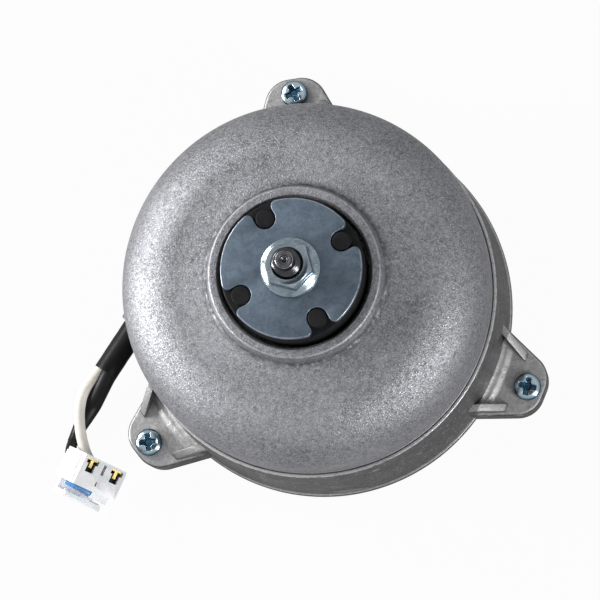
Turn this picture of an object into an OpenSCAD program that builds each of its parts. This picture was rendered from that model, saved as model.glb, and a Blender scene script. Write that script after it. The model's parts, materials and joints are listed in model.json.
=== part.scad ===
// Fan motor with a cast two-piece housing, three screw lugs, a damped clamp hub and a two-wire lead.
// The shaft axis is +Z, the origin lies on it at the flat rear face, and all lengths are in millimetres.

/* [Housing] */
// Outer radius of the front shell's side wall
shell_r = 54.7; // [54:0.1:60]
// Wall thickness of the front shell
shell_wall = 3.2; // [2.5:0.1:3.6]
// Distance by which the body shell's rim stands out of the front shell
rim_lip = 1.2; // [0.8:0.1:3]
// Growth of the body shell's outer radius from its rim to its bottom
wall_draft = 2; // [1:0.1:5]
// Radius where the front face starts to turn down to the side
face_r = 36; // [32:0.5:40]
// Fall of the front face from the boss to the turn
face_fall = 0.8; // [0:0.1:2]
// Height of the rounded shoulder
shoulder_h = 18; // [12:0.5:22]
// Thickness of the wall between the body shell's two chambers
bulkhead_t = 3; // [2:0.25:5]
// Clear height of the rear chamber that holds the board
chamber_h = 11.5; // [11:0.25:16]
// Radius of the round that breaks each shell's outer edge
edge_r = 0.7; // [0.3:0.1:1]

/* [Rear cover] */
// Thickness of the rear cover
cover_t = 2.5; // [2:0.25:4]
// Distance by which the cover's edge stands out of the body wall
cover_proud = 0.6; // [0.2:0.1:1.5]
// Height of the cover's centring rib
cover_rib_h = 1.5; // [1:0.25:2]

/* [Recess and boss] */
// Radius of the round opening in the boss
recess_r = 22.1; // [21.8:0.1:24]
// Depth of the recess below the top of the boss
recess_depth = 11.3; // [9:0.1:12]
// Width of the boss's top land
boss_land = 3.1; // [2.5:0.1:5]
// Height of the boss above the front face
boss_h = 4.3; // [3:0.1:6]
// Outward flare of the boss's side
boss_flare = 1.2; // [0.5:0.1:2]
// Chamfer at the recess's mouth
recess_chamfer = 0.7; // [0.3:0.1:1.2]

/* [Lugs] */
// Number of screw lugs
lug_n = 3; // [2:1:4]
// Distance from the body's bottom edge out to each lug screw
lug_reach = 10.6; // [9.6:0.1:14]
// Distance from each lug screw to the lug's outer end
lug_lip = 5.3; // [5:0.1:8]
// Thickness of each lug on the body shell
lug_t = 6; // [4:0.25:8]
// Corner radius of the lug's outer end
lug_corner_r = 8.2; // [5:0.1:9]
// Distance from the lug's middle to the centre of each end corner
lug_corner_y = 1.7; // [1:0.1:4]
// Half width of the lug where it leaves the wall
lug_root_y = 15.8; // [13:0.1:18]
// Thickness of the ribs along the lug's edges
rib_t = 2; // [1.5:0.1:3]
// Height of a rib at the wall above the lug's top
rib_h = 7; // [3:0.5:10]

/* [Screws] */
// Thread radius of the lug screws
lug_bolt_r = 2; // [1.5:0.1:2.5]
// Radius of a lug screw's head
lug_head_r = 4.2; // [3.4:0.1:4.4]
// Height of a lug screw's head
lug_head_h = 2.8; // [2:0.1:3.5]
// Radius of the three through bolts
bolt_r = 2; // [1.5:0.1:2.3]
// Gap between a through bolt's head and the chamber's wall
bolt_gap = 0.2; // [0.1:0.1:0.5]
// Radius of a through bolt's head
bolt_head_r = 3.5; // [3:0.1:3.6]
// Height of a through bolt's head
bolt_head_h = 2.4; // [2:0.1:3]
// Length of thread that a through bolt has in the front shell
bolt_grip = 7; // [5:0.5:8]

/* [Stator] */
// Height of the lamination stack
stack_h = 24; // [20:1:34]
// Radial thickness of the stator's back ring
yoke_t = 7.5; // [7:0.25:8.5]
// Gap between the rotor and the stator's teeth
air_gap = 0.6; // [0.3:0.1:1.5]
// Number of stator teeth
teeth_n = 9; // [6:3:9]
// Width of each tooth
tooth_w = 8; // [6:0.5:9]
// Radial thickness of a tooth's shoe
shoe_t = 2.6; // [2:0.1:3]
// Angle that each shoe covers
shoe_angle = 33; // [26:1:34]
// Thickness of the insulator on each face of the stack
insulator_t = 1; // [0.6:0.1:1.5]
// Thickness of each coil's winding
coil_t = 4.6; // [3:0.1:4.8]

/* [Rotor] */
// Outer radius of the rotor's magnet ring
rotor_r = 27; // [26:0.1:27.2]
// Thickness of the magnet ring
magnet_t = 3.5; // [2.5:0.1:5]
// Distance by which the rotor is longer than the stack at each end
rotor_over = 2; // [0:0.25:2]
// Radius of the shaft inside the rotor
shaft_core_r = 5; // [4.6:0.1:6]
// Radius of the shaft at the bearings and the thread
shaft_r = 4; // [3.5:0.1:4.2]

/* [Bearings] */
// Outer radius of each ball bearing
bearing_r = 11; // [10.5:0.1:12]
// Width of each ball bearing
bearing_w = 7; // [6:0.5:7]
// Radius of the balls
ball_r = 1.95; // [1.7:0.05:2]
// Number of balls in each bearing
ball_n = 7; // [6:1:8]
// Wall of the bearing pockets
pocket_wall = 3.2; // [2.5:0.1:4]
// Thickness of the pocket's end wall
pocket_end = 2.5; // [2:0.1:3.5]
// Thickness of the wave washer under the rear bearing
washer_t = 0.5; // [0.3:0.1:1]

/* [Hub] */
// Height of the spacer between the front bearing and the drive flange
spacer_h = 4; // [3:0.1:5]
// Thickness of the drive flange under the damper
flange_t = 2; // [1.5:0.1:3]
// Height of the rubber damper
damper_h = 12.5; // [10:0.5:14]
// Gap between the rubber damper and the recess's wall
damper_gap = 1.2; // [0.8:0.1:1.5]
// Radius of the damper's four pegs
peg_r = 2.8; // [2.4:0.1:3.1]
// Distance of each peg's axis inside the disc's edge
peg_in = 4.1; // [3.8:0.1:4.5]
// Number of pegs
peg_n = 4; // [3:1:4]
// Gap between the clamp disc and the recess's wall
disc_gap = 1.6; // [1.5:0.1:2.1]
// Thickness of the clamp disc
disc_t = 2; // [1.5:0.1:3]
// Clearance between a peg and its notch
notch_gap = 0.25; // [0.1:0.05:0.5]
// Outer radius of the steel bush inside the damper
bush_r = 6.5; // [6:0.1:8]

/* [Nut and thread] */
// Width of the hexagon across its flats
nut_af = 13; // [12:0.5:14]
// Height of the nut with its flange
nut_h = 8; // [6:0.5:9]
// Radius of the nut's flange
nut_flange_r = 8.8; // [8.2:0.1:9.5]
// Thickness of the flange's rim
nut_flange_t = 1.4; // [1:0.1:2]
// Length of shaft above the nut
shaft_tip_h = 6; // [3:0.5:10]
// Radius of the plain turned end of the shaft
tip_r = 2.6; // [2:0.1:3]
// Length of the plain turned end
tip_h = 1.2; // [0.5:0.1:2]

/* [Board] */
// Gap between the drive board and the through bolts' heads
board_gap = 0.3; // [0.2:0.1:2]
// Thickness of the drive board
board_t = 1.6; // [1:0.1:2]
// Distance from the axis to each board screw
board_screw_r = 30; // [28:0.5:34]
// Radius of a board screw
board_bolt_r = 1.5; // [1:0.1:1.5]
// Height of a board screw's head
board_head_h = 1.8; // [1:0.1:2]

/* [Lead] */
// Radius of each insulated wire
wire_r = 1.7; // [1.5:0.05:1.75]
// Outer radius of the sleeve
sleeve_r = 3.95; // [3.9:0.05:4.1]
// Wall of the sleeve
sleeve_wall = 0.4; // [0.3:0.05:0.4]
// Length of the sleeve past the grommet
sleeve_l = 19; // [12:0.5:20]
// Wall of the slanted outlet that holds the grommet
outlet_wall = 1.4; // [1:0.1:1.4]
// Length of the outlet outside the body's wall
outlet_l = 3; // [1:0.25:5]

/* [Connector] */
// Width of the connector's housing
plug_w = 14.9; // [14.5:0.1:18]
// Height of the connector's housing
plug_h = 9.9; // [9:0.1:12]
// Length of the connector's housing
plug_l = 20; // [18:0.5:24]
// Distance between the two contacts
plug_pitch = 8.4; // [8:0.1:9]
// Width of each contact chamber
cell_w = 4.6; // [4.4:0.1:5]
// Height of each contact chamber
cell_h = 4.4; // [4.2:0.1:5]
// Thickness of a contact's sheet
contact_t = 0.5; // [0.3:0.05:0.6]
// Thickness of the lock lever
lever_t = 1.5; // [1:0.1:2]
// Gap between the housing and the lock lever
lever_gap = 3.2; // [2.5:0.1:4.5]
// Thickness of the retainer
retainer_t = 1.6; // [1:0.1:1.8]

/* [Hidden] */
$fn = 96;

// Gap under each lug, so that the cover seats on the body's rim first
lug_relief = 0.2;
// Small amount by which a cut runs past the solid that it opens
past = 1;
// Running clearance between a ball and its races or its cage
ball_play = 0.06;
// Clearance of a bolt in its hole and of a shaft in a hole it only passes
bolt_play = 0.25;
shaft_play = 2;
// Clearance of the cover's centring rib in the body
rib_play = 0.1;

// Radii that follow the front shell, the rotor, the recess and the bolt heads
rim_r = shell_r + rim_lip;
base_r = rim_r + wall_draft;
stator_r = shell_r - shell_wall;
yoke_r = stator_r - yoke_t;
bore_r = rotor_r + air_gap;
lug_screw_r = base_r + lug_reach;
bolt_pcd_r = stator_r - bolt_head_r - bolt_gap;
board_r = bolt_pcd_r - bolt_head_r - board_gap;
damper_r = recess_r - damper_gap;
disc_r = recess_r - disc_gap;
peg_pcd_r = disc_r - peg_in;

// Heights, from the rear face to the shaft's tip
bulkhead_z = cover_t + chamber_h;
coil_play = 1.4;
stack_z = bulkhead_z + bulkhead_t + coil_play + coil_t + insulator_t;
stack_top = stack_z + stack_h;
split_z = stack_z + stack_h / 2;
coil_z = stack_z - insulator_t - coil_t;
coil_top = stack_top + insulator_t + coil_t;
rear_bearing_z = bulkhead_z + washer_t;
rotor_z = stack_z - rotor_over;
rotor_top = stack_top + rotor_over;
rotor_play = 2.5;
front_bearing_z = rotor_top + rotor_play;
front_bearing_top = front_bearing_z + bearing_w;
floor_z = front_bearing_top + pocket_end;
boss_z = floor_z + recess_depth;
face_z = boss_z - boss_h;
turn_z = face_z - face_fall;
wall_top = turn_z - shoulder_h;
spacer_z = front_bearing_top;
flange_z = spacer_z + spacer_h;
damper_z = flange_z + flange_t;
disc_z = damper_z + damper_h;
nut_z = disc_z + disc_t;
nut_top = nut_z + nut_h;
tip_z = nut_top + shaft_tip_h;
lug_z = cover_t + lug_relief;
lug_top = cover_t + lug_t;

// Radii and angles that several pieces share
shell_in_r = stator_r;
seat_r = stator_r - 2;
boss_r = recess_r + boss_land;
boss_base_r = boss_r + boss_flare;
pocket_r = bearing_r + pocket_wall;
cover_r = base_r + cover_proud;
lug_angle = 90;
bolt_angle = 30;
bolt_n = 3;
bolt_boss_r = bolt_r + shell_wall;
peg_angle = 20;
nut_angle = 37;
lug_in_r = stator_r + 1.5;
lug_corner_x = lug_screw_r + lug_lip - lug_corner_r;
lug_run = lug_corner_x - lug_in_r;
lug_drop = lug_root_y - lug_corner_y;
lug_slope = asin(lug_corner_r / norm([lug_run, lug_drop])) - atan2(lug_drop, lug_run);
bolt_end = split_z + stack_h / 2 + bolt_grip;
bearing_mid_r = (bearing_r + shaft_r) / 2;
race_gap = 2.4;
groove_r = ball_r + ball_play;
boss_wall = 1.5;
rib_end_h = 1.2;
rib_inset = 0.6;
peg_chamfer = 0.3;
cage_t = 1.1;
cage_h = 5.2;

// Route of the lead, which leaves the body's wall at a slant
lead_angle = 229;
lead_z = 8;
exit_angle = 174.914;
exit_in = 0.045;
exit_r = base_r - wall_draft * (lead_z - cover_t) / (split_z - cover_t) - exit_in;
grommet_in = 13;
bore_in = 2 * grommet_in;
grommet_out = 1.2;
wire_play = 0.08;
board_top = lead_z - wire_r;
board_z = board_top - board_t;
board_hole_h = bulkhead_z - board_top;

// Places along the connector, measured from its wire end, and lengths of its parts
cell_y = plug_h / 2 - 3;
lever_back = 1;
lever_l = 13;
lever_foot = 2;
contact_back = 4;
contact_l = 15;
retainer_back = 6;
retainer_l = 10;
retainer_w = plug_w - 2;

// Place of the connector's mating face, and its turn about X, Y and Z
plug_at = [-72.8, -45, 25];
plug_turn = [0, 30.7, -32.9];
// Points of the white wire, from the drive board to the connector's right chamber
white_route = [[-39, 19.9, 8], [-43, 20.4, 8], [-47.3, 18.9, 8], [-50.7, 15.3, 8], [-53.3, 12.3, 8],
    [-56, 9.2, 8], [-58.6, 6.2, 8], [-61.2, 3.2, 8], [-63.8, 0.2, 8], [-66.5, -2.9, 8], [-69.1, -5.9, 8],
    [-71.7, -8.7, 8], [-74.4, -11, 7.8], [-77, -13.3, 7.2], [-79.1, -16.2, 6.4], [-80.4, -19.6, 5.7],
    [-81.1, -23.3, 5.3], [-81.3, -27, 4.9], [-81.1, -30.6, 4.4], [-80.5, -34, 4.2], [-79.3, -37, 4.7],
    [-77.9, -39.2, 6], [-76.9, -40.4, 7.5]];
// Points of the black wire, from the drive board to the connector's left chamber
black_route = [[-38.4, 16, 8], [-42.2, 16.8, 8], [-45.6, 15.8, 8], [-48.1, 13.1, 8], [-50.8, 10, 8],
    [-53.4, 7, 8], [-56, 4, 8], [-58.6, 1, 8], [-61.2, -2, 8], [-63.9, -5.1, 8], [-66.5, -8.1, 8],
    [-69.1, -11.1, 7.6], [-71.5, -13.9, 6.3], [-73.9, -16.7, 4.5], [-76.4, -19.6, 2.8],
    [-79.1, -22.6, 1.9], [-81.7, -25.5, 1.8], [-83.8, -28.3, 2.1], [-85, -31.1, 3.4],
    [-85.1, -33.5, 5.7], [-84.4, -35.2, 8.4], [-83.1, -36.2, 11]];

metal = "silver";
steel = "lightsteelblue";

// Copies of a shape at equal angles
module around(count, first) {
    for (i = [0 : count - 1]) rotate([0, 0, first + i * 360 / count]) children();
}

module ring(outer, inner, height) {
    difference() {
        cylinder(r = outer, h = height);
        translate([0, 0, -past]) cylinder(r = inner, h = height + 2 * past);
    }
}

// Points of a quarter ellipse from the top at x = from_x down to its widest point
function shoulder(from_x, top_z, across, down, steps) = [for (i = [0 : steps])
    [from_x + across * sin(90 * i / steps), top_z - down + down * cos(90 * i / steps)]];
function edge_round(x, z, r, steps) =
    [for (i = [0 : steps]) [x - r + r * cos(90 * i / steps), z + r - r * sin(90 * i / steps)]];
function edge_round_top(x, z, r, steps) =
    [for (i = [0 : steps]) [x - r + r * sin(90 * i / steps), z - r + r * cos(90 * i / steps)]];

module front_profile() {
    polygon(concat(
        [[0, floor_z], [recess_r, floor_z], [recess_r, boss_z - recess_chamfer],
         [recess_r + recess_chamfer, boss_z]],
        edge_round_top(boss_r, boss_z, edge_r, 6),
        [[boss_base_r, face_z]],
        shoulder(face_r, turn_z, shell_r - face_r, shoulder_h, 24),
        edge_round(shell_r, split_z, edge_r, 5),
        [[0, split_z]]));
}

module front_cavity() {
    inner_turn = turn_z - shell_wall;
    polygon(concat(
        [[recess_r + shell_wall, inner_turn]],
        shoulder(face_r, inner_turn, seat_r - face_r, shoulder_h - shell_wall, 8),
        [[seat_r, stack_top], [shell_in_r, stack_top], [shell_in_r, split_z - past], [0, split_z - past],
         [0, front_bearing_z - past], [pocket_r, front_bearing_z - past],
         [pocket_r, floor_z - shell_wall], [recess_r + shell_wall, floor_z - shell_wall]]));
}

module front_shell() color(metal) difference() {
    rotate_extrude() front_profile();
    difference() {
        rotate_extrude() front_cavity();
        around(bolt_n, bolt_angle) translate([bolt_pcd_r, 0, stack_top + insulator_t + bolt_play])
            cylinder(r = bolt_boss_r, h = face_z);
    }
    translate([0, 0, split_z - past]) cylinder(r = bearing_r, h = front_bearing_top - split_z + past);
    cylinder(r = shaft_r + shaft_play, h = boss_z);
    around(bolt_n, bolt_angle) translate([bolt_pcd_r, 0, split_z])
        cylinder(r = bolt_r, h = bolt_end - split_z);
}

// Outline of one lug pointing along +X, with round corners and sides that run to the wall
module lug_plan() {
    steps = 12;
    corner = [for (i = [0 : steps]) let (turn = (90 + lug_slope) * (1 - i / steps))
        [lug_corner_x + lug_corner_r * cos(turn), lug_corner_y + lug_corner_r * sin(turn)]];
    polygon(concat(
        [[lug_in_r, lug_root_y]], corner,
        [for (i = [steps : -1 : 0]) [corner[i][0], -corner[i][1]]],
        [[lug_in_r, -lug_root_y]]));
}

// Wedge ribs along both edges of a lug, high at the wall and low at their outer end
module lug_ribs() {
    end_x = lug_corner_x;
    end_fall = -tan(lug_slope) * lug_run;
    outer = lug_root_y - rib_inset;
    inner = outer - rib_t;
    for (side = [-1, 1]) intersection() {
        translate([0, 0, lug_z + lug_t / 2]) linear_extrude(lug_t + rib_h)
            polygon([[lug_in_r, side * inner], [end_x, side * (inner - end_fall)],
                [end_x, side * (outer - end_fall)], [lug_in_r, side * outer]]);
        translate([0, lug_root_y, 0]) rotate([90, 0, 0]) linear_extrude(2 * lug_root_y)
            polygon([[0, lug_z], [end_x + past, lug_z], [end_x + past, lug_top + rib_end_h],
                [base_r, lug_top + rib_h], [0, lug_top + rib_h]]);
    }
}

module body_profile() {
    polygon(concat(
        [[0, cover_t], [base_r, cover_t]],
        edge_round_top(rim_r, split_z, edge_r, 5),
        [[0, split_z]]));
}

module body_cavity() {
    boss_top = rear_bearing_z + bearing_w;
    polygon([[0, boss_top], [pocket_r, boss_top], [pocket_r, bulkhead_z + bulkhead_t],
        [seat_r, bulkhead_z + bulkhead_t], [seat_r, stack_z], [shell_in_r, stack_z],
        [shell_in_r, split_z + past], [0, split_z + past]]);
    polygon([[0, cover_t - past], [shell_in_r, cover_t - past], [shell_in_r, bulkhead_z],
        [pocket_r, bulkhead_z], [pocket_r, bulkhead_z - pocket_end], [0, bulkhead_z - pocket_end]]);
}

// Places what is drawn along +Z on the lead, from the point where it leaves the wall
module along_lead() {
    translate([exit_r * cos(exit_angle), exit_r * sin(exit_angle), lead_z])
        rotate([0, 0, lead_angle]) rotate([0, 90, 0]) children();
}

module body_shell() color(metal) difference() {
    union() {
        rotate_extrude() body_profile();
        around(lug_n, lug_angle) {
            translate([0, 0, lug_z]) linear_extrude(lug_top - lug_z) lug_plan();
            lug_ribs();
        }
        along_lead() translate([0, 0, -outlet_l]) cylinder(r = sleeve_r + outlet_wall, h = 2 * outlet_l);
    }
    difference() {
        rotate_extrude() body_cavity();
        around(bolt_n, lug_angle) translate([board_screw_r, 0, board_top])
            cylinder(r = board_bolt_r + boss_wall, h = bulkhead_z - board_top + bulkhead_t / 2);
    }
    translate([0, 0, bulkhead_z]) cylinder(r = bearing_r, h = bearing_w + washer_t + past);
    around(lug_n, lug_angle) translate([lug_screw_r, 0, 0])
        cylinder(r = lug_bolt_r + bolt_play, h = lug_top + past);
    around(bolt_n, bolt_angle) translate([bolt_pcd_r, 0, bulkhead_z - past])
        cylinder(r = bolt_r + bolt_play, h = stack_z);
    around(bolt_n, lug_angle) translate([board_screw_r, 0, board_top - past])
        cylinder(r = board_bolt_r, h = board_hole_h + past);
    along_lead() translate([0, 0, -bore_in]) cylinder(r = sleeve_r, h = bore_in + 2 * outlet_l);
}

module rear_cover() color(metal) difference() {
    union() {
        cylinder(r = cover_r, h = cover_t);
        linear_extrude(cover_t) around(lug_n, lug_angle) lug_plan();
        ring(shell_in_r - rib_play, seat_r, cover_t + cover_rib_h);
    }
    around(lug_n, lug_angle) translate([lug_screw_r, 0, -past])
        cylinder(r = lug_bolt_r, h = cover_t + 2 * past);
}

// Pan head screw with a cross recess, head up, its head's seat at z = 0
module pan_screw(thread_r, head_r, head_h, length) {
    crown = 0.35 * head_h;
    slot = 0.3 * head_r;
    slot_reach = 0.55 * head_r;
    slot_floor = 0.45 * head_h;
    steps = 10;
    difference() {
        union() {
            translate([0, 0, -length]) cylinder(r = thread_r, h = length + crown);
            rotate_extrude() polygon(concat([[0, 0], [head_r, 0]],
                [for (i = [0 : steps]) [head_r * cos(90 * i / steps),
                    head_h - 2 * crown + 2 * crown * sin(90 * i / steps)]]));
        }
        for (turn = [0, 90]) rotate([0, 0, turn])
            translate([-slot_reach, -slot / 2, slot_floor]) cube([2 * slot_reach, slot, head_h]);
    }
}

module lug_screws() color(steel) around(lug_n, lug_angle) translate([lug_screw_r, 0, lug_top])
    pan_screw(lug_bolt_r, lug_head_r, lug_head_h, lug_top);

module through_bolts() color(steel) around(bolt_n, bolt_angle) translate([bolt_pcd_r, 0, bulkhead_z])
    rotate([180, 0, 0]) pan_screw(bolt_r, bolt_head_r, bolt_head_h, bolt_end - bulkhead_z);

module tooth_plan() {
    translate([bore_r + shoe_t / 2, -tooth_w / 2]) square([yoke_r - bore_r, tooth_w]);
    intersection() {
        difference() {
            circle(r = bore_r + shoe_t);
            circle(r = bore_r);
        }
        polygon([[0, 0], [2 * bore_r * cos(shoe_angle / 2), 2 * bore_r * sin(shoe_angle / 2)],
            [2 * bore_r * cos(shoe_angle / 2), -2 * bore_r * sin(shoe_angle / 2)]]);
    }
}

module stator_plan() {
    difference() {
        circle(r = stator_r);
        circle(r = yoke_r);
        around(bolt_n, bolt_angle) translate([bolt_pcd_r, 0]) circle(r = bolt_r + bolt_play);
    }
    around(teeth_n, lug_angle) difference() {
        tooth_plan();
        circle(r = bore_r);
    }
}

module stator_core() color("dimgray") translate([0, 0, stack_z])
    linear_extrude(stack_h) stator_plan();

// Insulator ring that covers the teeth and the inner part of the back ring
module insulator_plan() intersection() {
    stator_plan();
    circle(r = (yoke_r + bolt_pcd_r - bolt_r) / 2);
}
module front_insulator() color("ivory") translate([0, 0, stack_top])
    linear_extrude(insulator_t) insulator_plan();
module rear_insulator() color("ivory") translate([0, 0, stack_z - insulator_t])
    linear_extrude(insulator_t) insulator_plan();

// One coil around each tooth, wound between the shoe and the back ring
module stator_coils() color("peru") around(teeth_n, lug_angle) {
    end_gap = 0.6;
    gap = 0.15;
    half = tooth_w / 2 + gap;
    side = half + coil_t;
    inner = bore_r + shoe_t + end_gap;
    outer = sqrt(yoke_r * yoke_r - side * side) - end_gap;
    translate([inner, 0, 0]) rotate([90, 0, 90]) linear_extrude(outer - inner) difference() {
        translate([-side, coil_z]) square([2 * side, coil_top - coil_z]);
        translate([-half, stack_z - insulator_t]) square([2 * half, stack_h + 2 * insulator_t]);
    }
}

module drive_board() color("darkgreen") translate([0, 0, board_z]) difference() {
    cylinder(r = board_r, h = board_t);
    around(bolt_n, lug_angle) translate([board_screw_r, 0, -past])
        cylinder(r = board_bolt_r + bolt_play, h = board_t + 2 * past);
}

// Parts on the board: three power chips and a controller below, two capacitors and a coil above
module board_parts() color("black") {
    chip_h = 1.3;
    chip_w = 10;
    chip_x = 17;
    can_r = 4;
    can_h = 5;
    around(bolt_n, bolt_angle) translate([chip_x - chip_w / 2, -chip_w / 2, board_z - chip_h])
        cube([chip_w, chip_w, chip_h]);
    translate([-chip_w / 2, -chip_w / 2, board_z - chip_h]) cube([chip_w, chip_w, chip_h]);
    for (side = [-1, 1]) translate([2 * side * can_r + side, -board_screw_r, board_top])
        cylinder(r = can_r, h = can_h);
    rotate([0, 0, lug_angle / 2]) translate([board_screw_r, 0, board_top])
        cylinder(r = can_r + 1, h = can_h - 1);
}

module board_screws() color(steel) around(bolt_n, lug_angle) translate([board_screw_r, 0, board_z])
    rotate([180, 0, 0]) pan_screw(board_bolt_r, 1.8 * board_bolt_r, board_head_h, board_hole_h + board_t);

module rotor_core() color("gray") translate([0, 0, rotor_z])
    ring(rotor_r - magnet_t, shaft_core_r, rotor_top - rotor_z);
module magnet_ring() color("dimgray") translate([0, 0, rotor_z])
    ring(rotor_r, rotor_r - magnet_t, rotor_top - rotor_z);

module shaft() color(steel) {
    shoulder_z = rear_bearing_z + bearing_w;
    thread_end = tip_z - tip_h;
    chamfer = 0.5;
    translate([0, 0, rear_bearing_z]) cylinder(r = shaft_r, h = thread_end - rear_bearing_z - chamfer);
    translate([0, 0, shoulder_z]) cylinder(r = shaft_core_r, h = front_bearing_z - shoulder_z);
    translate([0, 0, thread_end - chamfer]) cylinder(r1 = shaft_r, r2 = shaft_r - chamfer, h = chamfer);
    translate([0, 0, thread_end]) cylinder(r = tip_r, h = tip_h);
}

// Groove for the balls, cut into both races
module ball_groove() rotate_extrude() translate([bearing_mid_r, bearing_w / 2])
    circle(r = groove_r, $fn = 32);
module outer_race() difference() {
    ring(bearing_r, bearing_mid_r + race_gap / 2, bearing_w);
    ball_groove();
}
module inner_race() difference() {
    ring(bearing_mid_r - race_gap / 2, shaft_r, bearing_w);
    ball_groove();
}
module balls() around(ball_n, 0) translate([bearing_mid_r, 0, bearing_w / 2]) sphere(r = ball_r, $fn = 32);
module cage() difference() {
    translate([0, 0, (bearing_w - cage_h) / 2])
        ring(bearing_mid_r + cage_t / 2, bearing_mid_r - cage_t / 2, cage_h);
    around(ball_n, 0) translate([shaft_r, 0, bearing_w / 2]) rotate([0, 90, 0])
        cylinder(r = groove_r, h = bearing_r);
}

module front_bearing_outer() color(steel) translate([0, 0, front_bearing_z]) outer_race();
module front_bearing_inner() color(steel) translate([0, 0, front_bearing_z]) inner_race();
module front_bearing_balls() color(metal) translate([0, 0, front_bearing_z]) balls();
module front_bearing_cage() color("goldenrod") translate([0, 0, front_bearing_z]) cage();
module rear_bearing_outer() color(steel) translate([0, 0, rear_bearing_z]) outer_race();
module rear_bearing_inner() color(steel) translate([0, 0, rear_bearing_z]) inner_race();
module rear_bearing_balls() color(metal) translate([0, 0, rear_bearing_z]) balls();
module rear_bearing_cage() color("goldenrod") translate([0, 0, rear_bearing_z]) cage();

module wave_washer() color(steel) translate([0, 0, bulkhead_z])
    ring(bearing_r - bolt_play, bearing_mid_r + race_gap / 2 + bolt_play, washer_t);

module spacer_sleeve() color(steel) translate([0, 0, spacer_z])
    ring(shaft_r + shaft_play / 2, shaft_r, spacer_h);
module drive_flange() color(steel) translate([0, 0, flange_z])
    ring(damper_r - shaft_play, shaft_r, flange_t);
module hub_bush() color(steel) translate([0, 0, damper_z]) ring(bush_r, shaft_r, damper_h);

module rubber_damper() color("black") {
    translate([0, 0, damper_z]) ring(damper_r, bush_r, damper_h);
    around(peg_n, peg_angle) translate([peg_pcd_r, 0, disc_z]) {
        translate([0, 0, -past]) cylinder(r = peg_r, h = disc_t - peg_chamfer + past);
        translate([0, 0, disc_t - peg_chamfer])
            cylinder(r1 = peg_r, r2 = peg_r - peg_chamfer, h = peg_chamfer);
    }
}

// Notch that is open to the rim, with a round end at the peg and a flared mouth
module notch_plan() {
    width = peg_r + notch_gap;
    mouth = 0.9;
    translate([peg_pcd_r, 0]) circle(r = width);
    polygon([[peg_pcd_r, -width], [disc_r - mouth, -width], [disc_r + past, -width - mouth - past],
        [disc_r + past, width + mouth + past], [disc_r - mouth, width], [peg_pcd_r, width]]);
}

module clamp_disc() color(metal) translate([0, 0, disc_z]) linear_extrude(disc_t) difference() {
    circle(r = disc_r);
    circle(r = shaft_r);
    around(peg_n, peg_angle) notch_plan();
}

module flange_nut() color(steel) translate([0, 0, nut_z]) difference() {
    corner_r = nut_af / 2 / cos(30);
    land_r = nut_af / 2 - 0.4;
    bevel = tan(30) * (corner_r - land_r);
    union() {
        cylinder(r = nut_flange_r, h = nut_flange_t);
        translate([0, 0, nut_flange_t])
            cylinder(r1 = nut_flange_r - edge_r, r2 = land_r, h = nut_flange_t);
        rotate([0, 0, nut_angle]) cylinder(r = corner_r, h = nut_h, $fn = 6);
    }
    rotate_extrude() polygon([[land_r, nut_h], [land_r, nut_h + past],
        [corner_r + past, nut_h + past], [corner_r + past, nut_h - bevel - past * tan(30)]]);
    translate([0, 0, -past]) cylinder(r = shaft_r, h = nut_h + 2 * past);
}

// Grommet in the slanted outlet, with one bore for each wire
module lead_grommet() color("black") intersection() {
    along_lead() difference() {
        translate([0, 0, -grommet_in]) cylinder(r = sleeve_r, h = grommet_in + grommet_out);
        for (side = [-1, 1]) translate([0, side * wire_r, -grommet_in - past])
            cylinder(r = wire_r + wire_play, h = grommet_in + grommet_out + 2 * past);
    }
    translate([0, 0, cover_t]) ring(base_r + outlet_l + sleeve_r, shell_in_r, chamber_h);
}

module lead_sleeve() color("dimgray") along_lead() translate([0, 0, grommet_out])
    ring(sleeve_r, sleeve_r - sleeve_wall, sleeve_l);

// Sweep of a round tube with flat ends along a list of points
function unit(v) = v / norm(v);
function heading(route, i) = unit(route[min(i + 1, len(route) - 1)] - route[max(i - 1, 0)]);
function hoop(route, i, r, sides) =
    let (ahead = heading(route, i), out = unit(cross([0, 0, 1], ahead)), up = cross(ahead, out))
    [for (k = [0 : sides - 1]) route[i] + r * (cos(360 * k / sides) * out + sin(360 * k / sides) * up)];
module tube(route, r, sides) {
    rings = len(route);
    last = (rings - 1) * sides;
    polyhedron(
        points = [for (i = [0 : rings - 1]) each hoop(route, i, r, sides)],
        faces = concat(
            [[for (k = [0 : sides - 1]) k]],
            [[for (k = [0 : sides - 1]) last + sides - 1 - k]],
            [for (i = [0 : rings - 2], k = [0 : sides - 1])
                let (a = i * sides + k, b = i * sides + (k + 1) % sides)
                [a, a + sides, b + sides, b]]));
}
module white_wire() color("ivory") tube(white_route, wire_r, 8);
module black_wire() color("black") tube(black_route, wire_r, 8);

// The connector is drawn with its mating face at z = 0 and its body below it
module plug_place() {
    translate(plug_at) rotate(plug_turn) children();
}

module connector_housing() color("white") plug_place() {
    lever_y = -plug_h / 2 - lever_gap - lever_t;
    lever_w = plug_w - 1;
    difference() {
        translate([-plug_w / 2, -plug_h / 2, -plug_l]) cube([plug_w, plug_h, plug_l]);
        for (side = [-1, 1]) translate([side * plug_pitch / 2, cell_y, -plug_l / 2])
            cube([cell_w, cell_h, plug_l + 2 * past], center = true);
    }
    translate([-lever_w / 2, lever_y, lever_back - plug_l]) cube([lever_w, lever_t, lever_l]);
    translate([-lever_w / 2, lever_y + lever_t / 2, lever_back - plug_l])
        cube([lever_w, lever_gap + lever_t, lever_foot]);
}

module connector_contacts() color("gold") plug_place()
    for (side = [-1, 1]) translate([side * plug_pitch / 2, cell_y, contact_back - plug_l]) {
        translate([-cell_w / 2, cell_h / 2 - contact_t, 0]) cube([cell_w, contact_t, contact_l]);
        translate([-contact_t, -cell_h / 8, 0]) cube([2 * contact_t, cell_h / 2, contact_l]);
    }

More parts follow.
